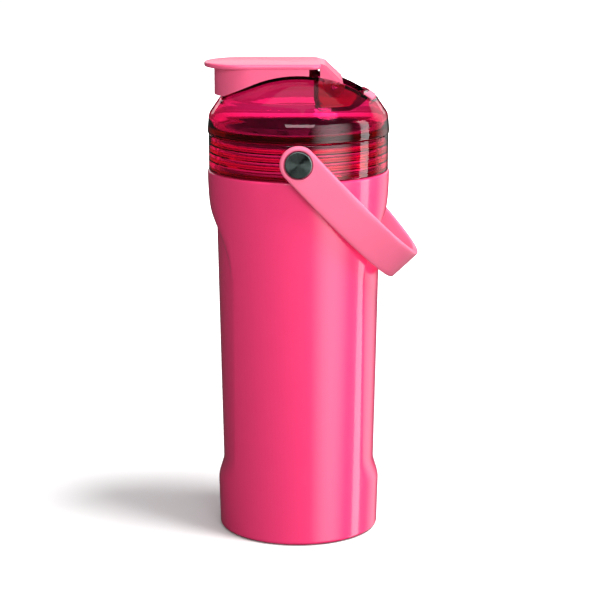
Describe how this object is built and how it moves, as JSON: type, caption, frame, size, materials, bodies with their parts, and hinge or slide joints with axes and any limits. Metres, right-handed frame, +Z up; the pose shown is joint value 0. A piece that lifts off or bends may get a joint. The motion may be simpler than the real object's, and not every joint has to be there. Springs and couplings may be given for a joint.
{
  "type": "insulated protein shaker bottle",
  "caption": "Tapered double-wall shaker bottle with side grip scoops, clear tinted screw lid, flip cap over a spout, bail handle and slotted mixing dish.",
  "frame": {"origin": "centre of the round base on the surface that the bottle stands on, on the bottle's axis", "axes": "+Z up along the bottle's axis, -X towards the drinking spout, +X towards the cap hinge and the hanging handle, Y along the handle's pivot axis"},
  "size_m": [0.1058, 0.1008, 0.2368],
  "materials": {
    "coat_pink": "satin powder coat",
    "strap_pink": "satin moulded",
    "cap_pink": "satin moulded",
    "tinted_clear": "clear tinted copolyester, polished",
    "steel": "brushed stainless",
    "spun_steel": "spun stainless",
    "seal_dark": "matt silicone",
    "silicone_clear": "matt silicone",
    "pad_dark": "matt silicone",
    "nylon": "moulded"
  },
  "bodies": {
    "bottle": {"outer_shell": "coat_pink", "inner_liner": "steel", "bottom_cap": "steel", "vacuum_seal": "steel", "base_pad": "pad_dark"},
    "lid_carrier": {"mouth_gasket": "seal_dark"},
    "lid": {"lid_collar": "tinted_clear", "lid_dome": "tinted_clear", "rear_pad": "cap_pink", "hinge_pin": "steel", "agitator": "nylon", "pivot_screw_front": "steel", "pivot_screw_rear": "steel", "pivot_bush_front": "nylon", "pivot_bush_rear": "nylon", "pivot_washer_front": "nylon", "pivot_washer_rear": "nylon", "handle_button_front": "spun_steel", "handle_button_rear": "spun_steel"},
    "cap": {"flip_cap": "cap_pink", "spout_plug": "silicone_clear"},
    "bail": {"handle": "strap_pink"}
  },
  "joints": [
    {"name": "lid_lift", "type": "slide", "parent": "bottle", "child": "lid_carrier", "axis": [0, 0, 1], "range_m": [0, 0.1]},
    {"name": "lid_turn", "type": "hinge", "parent": "lid_carrier", "child": "lid", "pos_m": [0, 0, 0.1925], "axis": [0, 0, 1], "range_deg": [0, 540]},
    {"name": "cap_hinge", "type": "hinge", "parent": "lid", "child": "cap", "pos_m": [0.017, 0, 0.225], "axis": [0, 1, 0], "range_deg": [0, 120]},
    {"name": "handle_swing", "type": "hinge", "parent": "lid", "child": "bail", "pos_m": [0, 0, 0.193], "axis": [0, -1, 0], "range_deg": [0, 274]}
  ]
}
